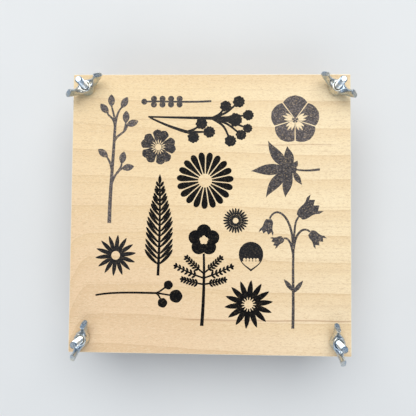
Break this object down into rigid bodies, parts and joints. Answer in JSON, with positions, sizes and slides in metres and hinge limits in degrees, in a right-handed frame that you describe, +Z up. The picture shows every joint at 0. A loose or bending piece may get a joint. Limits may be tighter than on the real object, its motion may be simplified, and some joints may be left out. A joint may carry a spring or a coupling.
{
  "type": "flower press",
  "caption": "Square wooden flower press whose boards clamp a pile of card and blotting paper between corner bolts tightened by wing nuts.",
  "frame": {"origin": "centre of the bottom board's flat underside, midway between the four bolts", "axes": "+Z up along the bolts, out of the printed face; +Y towards the top of the printed picture; +X to its right"},
  "size_m": [0.2052, 0.2046, 0.074],
  "materials": {
    "birch_ply": "satin",
    "zinc_bolt": "gloss",
    "zinc_casting": "satin",
    "corrugated_card": "matte",
    "blotting_paper": "matte",
    "black_print": "matte"
  },
  "bodies": {
    "base": {"bottom_board": "birch_ply", "bolt_front_left": "zinc_bolt", "bolt_front_right": "zinc_bolt", "bolt_back_left": "zinc_bolt", "bolt_back_right": "zinc_bolt", "card_1": "corrugated_card", "card_2": "corrugated_card", "card_3": "corrugated_card", "card_4": "corrugated_card", "card_5": "corrugated_card", "card_6": "corrugated_card", "blotter_01": "blotting_paper", "blotter_02": "blotting_paper", "blotter_03": "blotting_paper", "blotter_04": "blotting_paper", "blotter_05": "blotting_paper", "blotter_06": "blotting_paper", "blotter_07": "blotting_paper", "blotter_08": "blotting_paper", "blotter_09": "blotting_paper", "blotter_10": "blotting_paper"},
    "top_board": {"top_board": "birch_ply", "washer_front_left": "zinc_bolt", "washer_front_right": "zinc_bolt", "washer_back_left": "zinc_bolt", "washer_back_right": "zinc_bolt"},
    "wing_nut_front_left": {"wing_nut_front_left": "zinc_casting"},
    "wing_nut_front_right": {"wing_nut_front_right": "zinc_casting"},
    "wing_nut_back_left": {"wing_nut_back_left": "zinc_casting"},
    "wing_nut_back_right": {"wing_nut_back_right": "zinc_casting"}
  },
  "joints": [
    {"name": "top_board_slide", "type": "slide", "parent": "base", "child": "top_board", "axis": [0, 0, 1], "range_m": [0, 0.0216]},
    {"name": "wing_nut_back_left_turn", "type": "hinge", "parent": "top_board", "child": "wing_nut_back_left", "pos_m": [-0.0895, 0.0895, 0.0526], "axis": [0, 0, 1], "range_deg": [0, 9720]},
    {"name": "wing_nut_back_right_turn", "type": "hinge", "parent": "top_board", "child": "wing_nut_back_right", "pos_m": [0.0895, 0.0895, 0.0526], "axis": [0, 0, 1], "range_deg": [0, 9720]},
    {"name": "wing_nut_front_left_turn", "type": "hinge", "parent": "top_board", "child": "wing_nut_front_left", "pos_m": [-0.0895, -0.0895, 0.0526], "axis": [0, 0, 1], "range_deg": [0, 9720]},
    {"name": "wing_nut_front_right_turn", "type": "hinge", "parent": "top_board", "child": "wing_nut_front_right", "pos_m": [0.0895, -0.0895, 0.0526], "axis": [0, 0, 1], "range_deg": [0, 9720]}
  ],
  "couplings": [
    {"joint": "wing_nut_front_left_turn", "follows": "top_board_slide", "rad_per_m": 7854},
    {"joint": "wing_nut_front_right_turn", "follows": "top_board_slide", "rad_per_m": 7854},
    {"joint": "wing_nut_back_left_turn", "follows": "top_board_slide", "rad_per_m": 7854},
    {"joint": "wing_nut_back_right_turn", "follows": "top_board_slide", "rad_per_m": 7854}
  ]
}
